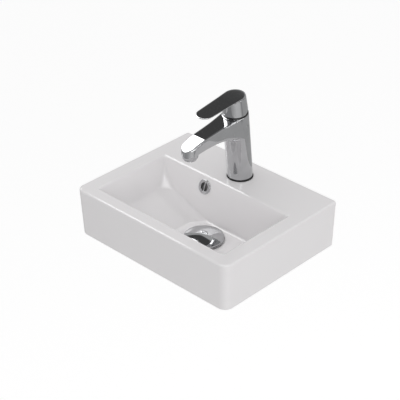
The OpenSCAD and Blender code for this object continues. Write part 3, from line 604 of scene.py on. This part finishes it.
def ductPieces(grow):
    drainX, drainY = basin["drain"]
    toDrain = drainX - basin["overflow"][0]
    half = duct["half"] + grow
    low = duct["low"] - grow
    near = toDrain - duct["half"] - half
    far = toDrain + half
    outline = [(-half, duct["elbow"]), (near, duct["foot"]), (far, duct["foot"]), (far, duct["bend"]),
               (half, duct["head"] + grow), (-half, duct["head"] + grow)]
    shaft = loose("shaft", prism("shaft", outline, -ductFront - duct["gap"] - grow,
                                 -ductFront + duct["overlap"] * grow, atOverflow))
    side = basin["width"] / 2
    reach = boxMesh("reach", (-side, -basin["depth"], low), (side, 0, duct["roof"]))
    boolean(shaft, "INTERSECT", loose("reach", reach))
    back = basin["back"] + basin["backLean"] * duct["low"] + basin["wall"] + duct["gap"] + grow
    channel = boxMesh("channel", (drainX - half, drainY, low),
                      (drainX + half, back, duct["low"] + duct["slot"] + grow))
    return boolean(shaft, "UNION", loose("channel", channel))


def cutter(name, loop, place, steps=96):
    return loose(name, lathe(name, loop, place, steps))


def mouthLoop(r, level, mouth, high):  # a hole's rounded mouth, then out above it to the axis
    loop = [(r + out, level + up) for out, up in mouth]
    return loop + [(loop[-1][0], high), (0, high)]


def makeBasin():
    block = loose("basinGlazed", loft("block", blockRings()))
    boolean(block, "DIFFERENCE", loose("skirt", loft("skirt", skirtRings())))

    belly = loose("belly", loft("belly", bowlRings(basin["wall"])))
    atDrain = Matrix.Translation((*basin["drain"], 0))
    foot = -basinHeight
    boss = [(0, foot), (basin["boss"], foot), (basin["boss"], basin["bossTop"]), (0, basin["bossTop"])]
    boolean(belly, "UNION", cutter("boss", boss, atDrain))
    boolean(belly, "UNION", ductPieces(duct["wall"]))
    boolean(belly, "INTERSECT", loose("again", loft("again", blockRings())))
    boolean(block, "UNION", belly)
    boolean(block, "DIFFERENCE", loose("bowl", loft("bowl", bowlRings(0))))

    floor = -basin["bowlDepth"]
    recess = floor - basin["recess"]
    hole = basin["drainHole"]
    wide = hole + basin["drainChamfer"]
    drain = [(0, foot - past), (wide, foot - past), (wide, foot), (hole, foot + basin["drainChamfer"]),
             (hole, recess - basin["drainChamfer"]), (wide, recess), (basin["recessR"], recess)]
    drain += mouthLoop(basin["recessR"], floor, basin["recessMouth"], floor + 3 * past)
    boolean(block, "DIFFERENCE", cutter("drain", drain, atDrain))
    boolean(block, "DIFFERENCE", ductPieces(0))

    low = -ductFront - 3 * past
    overflow = [(0, low), (basin["overflowHole"], low)]
    overflow += mouthLoop(basin["overflowHole"], 0, basin["holeMouth"], 6 * past)
    boolean(block, "DIFFERENCE", cutter("overflow", overflow, atOverflow))
    low = -basin["deck"] - past
    tapHole = [(0, low), (basin["tapHole"], low)]
    tapHole += mouthLoop(basin["tapHole"], 0, basin["holeMouth"], 2 * past)
    boolean(block, "DIFFERENCE", cutter("tapHole", tapHole, upright))

    hole = basin["boltR"]
    wide = hole + basin["boltChamfer"]
    through = basin["backWall"] + past
    bolt = [(0, -past), (wide, -past), (wide, proud), (hole, basin["boltChamfer"])]
    bolt += [(hole, through), (0, through)]
    outOfWall = Matrix.Rotation(math.pi / 2, 4, "X")
    for side in (-1, 1):
        place = Matrix.Translation((side * basin["boltX"], 0, basin["boltZ"])) @ outOfWall
        boolean(block, "DIFFERENCE", cutter("bolt", bolt, place, basin["boltSteps"]))

    mesh = cleaned(block.data, cleaning["seam"], cleaning["merge"], False)
    mesh.materials.clear()
    mesh.materials.append(finishes["glazed_ceramic"])
    smoothShade(mesh, basin["sharpAngle"])
    weighted(block)
    return finish(block, "root", "basin")


makeBasin()


# Smooth cast forms: a volume meshes the skin that a formula gives, and each vertex is pulled onto it
forming = {
    "outside": -3.0,  # what the volume holds beyond its box
    "fewest": 8,  # cells along an edge of the box
    "passes": 4,  # how often each vertex is pulled
    "farthest": 0.5,  # how far at most each time, in cells
    "leastSlope": 0.25,
    "nudge": 0.02,  # for the slope of the formula at a point
    "normalNudge": 0.4,  # in cells, wide enough to round the normals over a crease
}


def cellCount(low, high, cell):
    return [max(forming["fewest"], round((b - a) / cell)) for a, b in zip(low, high)]


def formTree(name, field):  # the node group that turns a formula into a skin
    tree = bpy.data.node_groups.new(name + "Form", "GeometryNodeTree")
    for socket in ("Low", "High"):
        tree.interface.new_socket(socket, in_out="INPUT", socket_type="NodeSocketVector")
    for socket in ("Cells X", "Cells Y", "Cells Z"):
        tree.interface.new_socket(socket, in_out="INPUT", socket_type="NodeSocketInt")
    tree.interface.new_socket("Material", in_out="INPUT", socket_type="NodeSocketMaterial")
    tree.interface.new_socket("Geometry", in_out="OUTPUT", socket_type="NodeSocketGeometry")
    maker = Maker(tree)
    given = maker.add("NodeGroupInput")
    parts = maker.add("ShaderNodeSeparateXYZ", {}, {0: maker.wire(maker.add("GeometryNodeInputPosition"))})
    axes = [maker.wire(parts, i) for i in range(3)]
    volume = maker.add("GeometryNodeVolumeCube", {}, {
        "Density": -field(*axes), "Background": forming["outside"],
        "Min": maker.wire(given, "Low"), "Max": maker.wire(given, "High"),
        "Resolution X": maker.wire(given, "Cells X"), "Resolution Y": maker.wire(given, "Cells Y"),
        "Resolution Z": maker.wire(given, "Cells Z")})
    skin = maker.add("GeometryNodeVolumeToMesh", {}, {"Volume": maker.wire(volume), "Threshold": 0.0})
    real = maker.add("GeometryNodeRealizeInstances", {}, {0: maker.wire(skin)})
    dressed = maker.add("GeometryNodeSetMaterial", {}, {
        "Geometry": maker.wire(real), "Material": maker.wire(given, "Material")})
    maker.add("NodeGroupOutput", {}, {0: maker.wire(dressed)})
    return tree


def formMesh(name, field, form, slot, place):
    low, high, cell = form["boxLow"], form["boxHigh"], form["cell"]
    tree = formTree(name, field)
    piece = loose(name, bpy.data.meshes.new(name))
    modifier = piece.modifiers.new("form", "NODES")
    modifier.node_group = tree
    cells = cellCount(low, high, cell)
    values = {"Low": low, "High": high, "Cells X": cells[0], "Cells Y": cells[1], "Cells Z": cells[2],
              "Material": finishes[slot]}
    for item in tree.interface.items_tree:
        if item.in_out == "INPUT" and item.name in values:
            modifier[item.identifier] = values[item.name]
    applied(piece)

    mesh = piece.data
    points = np.zeros(len(mesh.vertices) * 3)
    mesh.vertices.foreach_get("co", points)
    points = points.reshape(-1, 3)
    farthest = forming["farthest"] * cell
    for _ in range(forming["passes"]):
        slope = gradient(field, points, forming["nudge"])
        steepness = np.maximum((slope ** 2).sum(1, keepdims=True), forming["leastSlope"])
        step = field(*points.T)[:, None] * slope / steepness
        points = points - np.clip(step, -farthest, farthest)
    normals = gradient(field, points, forming["normalNudge"] * cell)
    normals /= np.linalg.norm(normals, axis=1, keepdims=True)
    turn = np.array(place)
    placed = toRow(points @ turn[:3, :3].T + turn[:3, 3])
    mesh.vertices.foreach_set("co", placed.ravel())
    mesh.update()
    for polygon in mesh.polygons:
        polygon.use_smooth = True
    mesh.normals_split_custom_set_from_vertices([tuple(n) for n in normals @ turn[:3, :3].T])
    mesh.materials.clear()
    mesh.materials.append(finishes[slot])
    return piece


def gradient(field, points, step):
    slopes = []
    for axis in range(3):
        shift = np.zeros(3)
        shift[axis] = step
        slopes.append((field(*(points + shift).T) - field(*(points - shift).T)) / (2 * step))
    return np.stack(slopes, 1)


tap = {
    "columnR": 22.5, "columnTop": 129, "base": 1.6,
    # the spout's top falls from its root, then curves down from the crease to the nose
    "rootY": -37, "rootZ": 125.27, "fall": 0.127, "creaseY": -103, "noseSlope": 0.2, "noseBend": 0.0045,
    "outletY": -125, "noseR": 14.5, "flareY": -60, "flareR": 15.8, "columnSideY": -14, "columnSideR": 22.2,
    "bellyZ": 98, "bellyY": -82, "bellyBend": 0.0022, "spoutEnd": 20,
    "archR": 14, "archLow": 85.77, "archTop": 110, "archEnd": 31.85, "archSide": 6,
    "outletZ": 88, "lipH": 6, "lipIn": 1.2, "nozzleH": 13,
    "seatR": 17.8, "seatZ": 100, "boreR": 11.5, "boreTop": 96, "chamberR": 8.5, "chamberTop": 102,
    "inletX": 6.5, "inletY": -5.5, "inletR": 4.5, "inletTop": 13.6, "studY": 13, "studR": 3.05,
    # how softly two faces meet
    "edge": 1.1, "joinEdge": 0.9, "rimEdge": 0.7, "footEdge": 1.6, "flareEdge": 1.6, "bellyEdge": 0.5,
    "lipEdge": 0.6, "holeEdge": 0.3,
    "cell": 0.6, "boxLow": (-25, -143, -2), "boxHigh": (25, 27, 134),
}


def leaning(y, z):
    return (y * math.cos(tapLean) + z * math.sin(tapLean), z * math.cos(tapLean) - y * math.sin(tapLean))


def tapField(x, y, z):
    v, w = leaning(y, z)
    fromAxis = span(x, v)
    column = softLarger(fromAxis - tap["columnR"], w - tap["columnTop"], tap["rimEdge"])
    ahead = larger(tap["creaseY"] - y, 0)
    top = (tap["rootZ"] - tap["fall"] * (tap["rootY"] - larger(y, tap["creaseY"]))
           - tap["noseSlope"] * ahead - tap["noseBend"] * ahead * ahead)
    under = tap["bellyZ"] - tap["bellyBend"] * (y - tap["bellyY"]) * (y - tap["bellyY"])
    along = larger(y, tap["outletY"])
    slim = tap["noseR"] + (along - tap["outletY"]) * (
        (tap["flareR"] - tap["noseR"]) / (tap["flareY"] - tap["outletY"]))
    wide = tap["flareR"] + (along - tap["flareY"]) * (
        (tap["columnSideR"] - tap["flareR"]) / (tap["columnSideY"] - tap["flareY"]))
    plan = span(x, smaller(y - tap["outletY"], 0)) - softLarger(slim, wide, tap["flareEdge"])
    bottom = softLarger(under - z, y + tap["spoutEnd"], tap["bellyEdge"])
    spout = softLarger(softLarger(z - top, plan, tap["edge"]), bottom, tap["edge"])

    hollow = tap["archR"] - span(fromAxis - tap["columnR"] - tap["archR"], w - tap["archLow"])
    arch = larger(hollow, larger(tap["archLow"] - w, w - tap["archTop"]))
    arch = larger(larger(arch, larger(fromAxis - tap["archEnd"], plan)), y + tap["archSide"])
    fromOutlet = span(x, y - tap["outletY"])
    lip = tap["noseR"] - larger(tap["outletZ"] + tap["lipH"] - z, 0) * (tap["lipIn"] / tap["lipH"])
    nozzle = softLarger(fromOutlet - lip, tap["outletZ"] - z, tap["lipEdge"])
    nozzle = larger(nozzle, z - tap["outletZ"] - tap["nozzleH"])
    solid = smaller(smaller(softSmaller(column, spout, tap["joinEdge"]), nozzle), arch)
    solid = softLarger(solid, tap["base"] - z, tap["footEdge"])

    seat = larger(fromAxis - tap["seatR"], tap["seatZ"] - w)
    bore = larger(fromOutlet - tap["boreR"], z - tap["boreTop"])
    chamber = larger(fromOutlet - tap["chamberR"], z - tap["chamberTop"])
    inlet = span(size(x) - tap["inletX"], y - tap["inletY"]) - tap["inletR"]
    stud = span(x, y - tap["studY"]) - tap["studR"]
    holes = smaller(smaller(seat, smaller(bore, chamber)), larger(smaller(inlet, stud), z - tap["inletTop"]))
    return softLarger(solid, -holes, tap["holeEdge"])


tapBody = formMesh("tapBodyCast", tapField, tap, "chrome", upright)
finish(tapBody, "root", "tap_body")
print("tap body made:", len(tapBody.data.polygons), "faces")


lever = {
    "low": 132, "top": 164.7, "hubR": 22, "hubTopR": 19.4, "hubInBlade": 2,
    "bladeLow": 159.7, "bladeR": 19, "tipR": 16.2, "tipAt": 70.3, "rim": 1.3, "undercut": 1.2,
    # inside the hub: a cone over the cartridge's nut, and the socket for its spindle
    "cavityR": 19.7, "cavityStep": 136.9, "cavityTop": 150.7, "coneTopR": 11,
    "socketR": 8, "socketLow": 139.4,
    # the slant under the back of the hub, which clears the tap when the lever is lifted
    "pin": 131, "lift": math.radians(20), "relief": 0.6,
    "screwZ": 154.7, "screwR": 2.55, "screwStart": 4, "plugR": 3.55, "plugY": 17.19,
    # how softly two faces meet
    "edge": 0.7, "joinEdge": 1.5, "footEdge": 0.5, "bladeEdge": 0.3, "crownEdge": 0.4, "holeEdge": 0.3,
    "cell": 0.7, "boxLow": (-25, -89, 128), "boxHigh": (25, 26, 168),
}


def leverField(x, y, z):
    fromAxis = span(x, y)
    fallIn = (lever["hubR"] - lever["hubTopR"]) / (lever["top"] - lever["low"])
    hub = larger(fromAxis - lever["hubR"] + fallIn * (z - lever["low"]),
                 z - lever["bladeLow"] - lever["hubInBlade"])
    hub = softLarger(hub, lever["low"] - z, lever["footEdge"])
    narrow = (lever["bladeR"] - lever["tipR"]) / lever["tipAt"]
    flank = math.sqrt(1 - narrow ** 2)
    along = between(-y - size(x) * (narrow / flank), 0, lever["tipAt"])
    plan = span(x, y + along) - (lever["bladeR"] - narrow * along)
    plan = plan + larger(lever["top"] - lever["rim"] - z, 0) * lever["undercut"]
    flat = softLarger(z - lever["top"], lever["bladeLow"] - z, lever["bladeEdge"])
    blade = softLarger(plan, flat, lever["edge"])
    solid = softSmaller(hub, blade, lever["joinEdge"])
    solid = softLarger(solid, z - lever["top"], lever["crownEdge"])

    coneIn = (lever["cavityR"] - lever["coneTopR"]) / (lever["cavityTop"] - lever["cavityStep"])
    cone = fromAxis - lever["cavityR"] + coneIn * larger(z - lever["cavityStep"], 0)
    socket = larger(fromAxis - lever["socketR"], lever["socketLow"] - z)
    cavity = larger(larger(cone, z - lever["cavityTop"]), -socket)
    back = (z - lever["pin"]) * math.cos(lever["lift"]) - y * math.sin(lever["lift"]) - lever["relief"]
    fromScrew = span(x, z - lever["screwZ"])
    screw = larger(fromScrew - lever["screwR"], lever["screwStart"] - y)
    plug = larger(fromScrew - lever["plugR"], lever["plugY"] - y)
    return softLarger(solid, -smaller(smaller(cavity, back), smaller(screw, plug)), lever["holeEdge"])


leverPiece = formMesh("leverCast", leverField, lever, "chrome", onAxis)
finish(leverPiece, "lever", "lever_handle")
print("lever made:", len(leverPiece.data.polygons), "faces")


# The waste's cap: a shallow dome, turned
cap = {
    "r": 35, "low": -68.85, "rim": 2.4, "rise": 4.5, "boss": 6, "bossDrop": 1, "bore": 2.45, "boreIn": 2,
    "groove": 1, "sealOut": 26.05, "sealIn": 22.45,
    "domeSteps": 26, "edge": 0.7, "edgeTurns": (20, 40, 60, 80, 90),
    "underEdge": ((0, 0.5), (-0.15, 0.15), (-0.5, 0)), "bossIn": (0.4, -0.3),
    "steps": 144, "sharpAngle": 35,
}


def makeCap():
    low = cap["low"]
    edge = cap["edge"]
    ball = (cap["r"] ** 2 + cap["rise"] ** 2) / (2 * cap["rise"])
    centre = low + cap["rim"] + cap["rise"] - ball
    shoulder = cap["r"] - edge
    loop = [(r, centre + math.sqrt(ball ** 2 - r ** 2)) for r in np.linspace(0, shoulder, cap["domeSteps"])]
    start = loop[-1][1]
    for turn in np.radians(cap["edgeTurns"]):
        loop.append((shoulder + edge * math.sin(turn), start - edge + edge * math.cos(turn)))
    loop += [(cap["r"] + out, low + up) for out, up in cap["underEdge"]]
    widen, drop = cap["bossIn"]
    loop += [(cap["sealOut"], low), (cap["sealOut"], low + cap["groove"]),
             (cap["sealIn"], low + cap["groove"]), (cap["sealIn"], low),
             (cap["boss"] + widen, low), (cap["boss"], low + drop),
             (cap["boss"], low - cap["bossDrop"]), (cap["bore"], low - cap["bossDrop"]),
             (cap["bore"], low + cap["boreIn"]), (0, low + cap["boreIn"])]
    place = Matrix.Translation((*basin["drain"], 0))
    piece = addObject("capDomed", lathe("capDomed", loop, place, cap["steps"]), "chrome")
    smoothShade(piece.data, cap["sharpAngle"])
    return finish(weighted(piece), "waste_plug", "waste_cap")


makeCap()
print("cap made")


# The rest keeps its CAD shape, merged and shaded smooth
slotOf = {part["node"]: part["material_slot"] for part in frame["record"]["subparts"]}
polishAngle = 32


def polish(node):
    source = nodes[node]
    mesh = cleaned(source.data.copy(), cleaning["merge"], cleaning["hair"])
    piece = addObject(node + "Finished", mesh, slotOf[node])
    smoothShade(mesh, polishAngle)
    weighted(piece)
    return finish(piece, source["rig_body"], node)


remade = {"basin", "tap_body", "lever_handle", "waste_cap"}
for node in sorted(set(nodes) - remade):
    polish(node)
print("other pieces finished:", len(nodes) - len(remade))


# Camera, floor and light
camera = {
    "place": (1.32743, -1.54483, 1.22962), "azimuth": 43.577, "pitch": 31.719, "roll": 0.159,
    "lens": 120.16, "sensor": 36, "farthest": 50,
}
studio = {
    "floorZ": -0.85, "floorSize": 14, "floorColor": (0.78, 0.78, 0.78), "floorRoughness": 0.9,
    "cameraLift": 0.41,  # how much lighter the camera sees the floor
    "ambient": 0.71, "sky": 0.5, "groundScale": 1.6, "horizonSharp": 12,
    # a dark card in the sky that shows in reflections only: its sides, its lower edge, how sharp they are
    "flag": 0.075, "flagNear": 0.31, "flagFar": 0.568, "flagLow": 0.88, "flagSlope": 0.503,
    "nearSharp": 20, "farSharp": 60, "lowSharp": 60,
}
# What shows in reflections below the horizon, by compass angle: 0 at -X, then -Y, +X and +Y back to -X
groundBands = [
    (0.0, 0.25), (0.10, 0.22), (0.147, 0.30), (0.192, 0.22), (0.29, 0.27), (0.37, 0.38), (0.41, 0.44),
    (0.50, 0.42), (0.533, 0.31), (0.555, 0.18), (0.578, 0.29), (0.63, 0.29), (0.90, 0.29), (0.965, 0.3),
]
lamps = {
    "sideBox": {"place": (-0.441, -0.215, 0.872), "target": (0.385, -0.215, 0.27), "size": (0.97, 0.594),
                "radiance": 0.5, "rays": ("diffuse",)},
    "sideCard": {"place": (-0.54, -0.165, 0.705), "target": (0.268, -0.165, 0.116), "size": (0.77, 0.264),
                 "radiance": 4, "rays": ("glossy",)},
    "lowCard": {"place": (-0.95, -0.14, 0.56), "target": (0, -0.07, 0), "size": (0.62, 0.22), "radiance": 4,
                "rays": ("glossy",)},
    "topCard": {"place": (0.35, -0.60, 1.3), "target": (0.17, -0.26, 0), "size": (1.1, 0.7), "radiance": 2.6,
                "rays": ("glossy",)},
    "rightCard": {"place": (2.4, 0.15, 0.28), "target": (0, -0.1, 0), "size": (1.7, 0.44), "radiance": 4.5,
                  "rays": ("glossy",)},
    "frontBox": {"place": (1.74, -1.31, 0.5), "target": (0, -0.14, 0), "size": (0.6, 0.8), "radiance": 3.0,
                 "rays": ("diffuse", "glossy")},
    "rightFill": {"place": (2.2, 0.2, 0.4), "target": (0, -0.14, 0), "size": (1.4, 1.4), "radiance": 0.7,
                  "rays": ("diffuse",)},
}


def makeCamera():
    data = bpy.data.cameras.new("photoCamera")
    data.lens = camera["lens"]
    data.sensor_width = camera["sensor"]
    data.clip_end = camera["farthest"]
    holder = loose("photoCamera", data)
    turn = (Matrix.Rotation(math.radians(camera["azimuth"]), 4, "Z")
            @ Matrix.Rotation(math.radians(90 - camera["pitch"]), 4, "X")
            @ Matrix.Rotation(math.radians(camera["roll"]), 4, "Z"))
    holder.matrix_world = Matrix.Translation(camera["place"]) @ turn
    bpy.context.scene.camera = holder


def makeFloor():
    half = studio["floorSize"] / 2
    corners = [(-half, -half), (half, -half), (half, half), (-half, half)]
    mesh = meshFrom("floor", [(x, y, studio["floorZ"]) for x, y in corners], [(0, 1, 2, 3)])
    material, maker, shader = newMaterial(
        "paleFloor", studio["floorColor"], 0, studio["floorRoughness"], {"Specular IOR Level": 0.0})
    seen = maker.wire(maker.add("ShaderNodeLightPath"), "Is Camera Ray")
    lift = studio["cameraLift"]
    shader.inputs["Emission Strength"].default_value = 1
    feed(maker, shader, "Emission Color", blendColor(maker, seen, (0, 0, 0), (lift, lift, lift)))
    mesh.materials.append(material)
    piece = loose("floor", mesh)
    piece.visible_glossy = False


def makeWorld():
    world = bpy.data.worlds.new("studio")
    bpy.context.scene.world = world
    world.use_nodes = True
    tree = world.node_tree
    tree.nodes.clear()
    maker = Maker(tree)
    direction = maker.wire(maker.add("ShaderNodeTexCoord"), "Generated")
    parts = maker.add("ShaderNodeSeparateXYZ", {}, {0: direction})
    x, y, z = (maker.wire(parts, i) for i in range(3))
    compass = y.step("ARCTAN2", x) * (0.5 / math.pi) + 0.5
    stops = [(at, (level, level, level)) for at, level in groundBands]
    bands = maker.add("ShaderNodeValToRGB", {"stops": stops}, {0: compass})
    below = maker.wire(bands) * studio["groundScale"]
    above = between(z * studio["horizonSharp"] + 0.5, 0, 1)
    near = between((y - studio["flagNear"]) * studio["nearSharp"], 0, 1)
    far = between((studio["flagFar"] - y) * studio["farSharp"], 0, 1)
    overLow = (z - studio["flagSlope"] * x - studio["flagLow"]) * studio["lowSharp"]
    flagged = near * far * between(overLow + 0.5, 0, 1)
    upper = studio["sky"] * (1 - flagged) + studio["flag"] * flagged
    level = below * (1 - above) + upper * above
    path = maker.add("ShaderNodeLightPath")
    mirrored = maker.wire(path, "Is Glossy Ray")
    seen = maker.wire(path, "Is Camera Ray")
    strength = larger(level * mirrored + studio["ambient"] * (1 - mirrored), seen)
    background = maker.add("ShaderNodeBackground", {}, {"Color": (1, 1, 1, 1), "Strength": strength})
    maker.add("ShaderNodeOutputWorld", {}, {0: maker.wire(background)})


def makeLamp(name, given):
    data = bpy.data.lights.new(name, "AREA")
    data.shape = "RECTANGLE"
    data.size, data.size_y = given["size"]
    data.energy = given["radiance"] * math.pi * data.size * data.size_y
    lamp = loose(name, data)
    aim = (Vector(given["target"]) - Vector(given["place"])).to_track_quat("-Z", "Y")
    lamp.matrix_world = Matrix.Translation(given["place"]) @ aim.to_matrix().to_4x4()
    lamp.visible_diffuse = "diffuse" in given["rays"]
    lamp.visible_glossy = "glossy" in given["rays"]
    lamp.visible_camera = False


makeCamera()
makeFloor()
makeWorld()
for name, given in lamps.items():
    makeLamp(name, given)
bpy.context.scene.view_settings.view_transform = "Standard"
print("studio made")
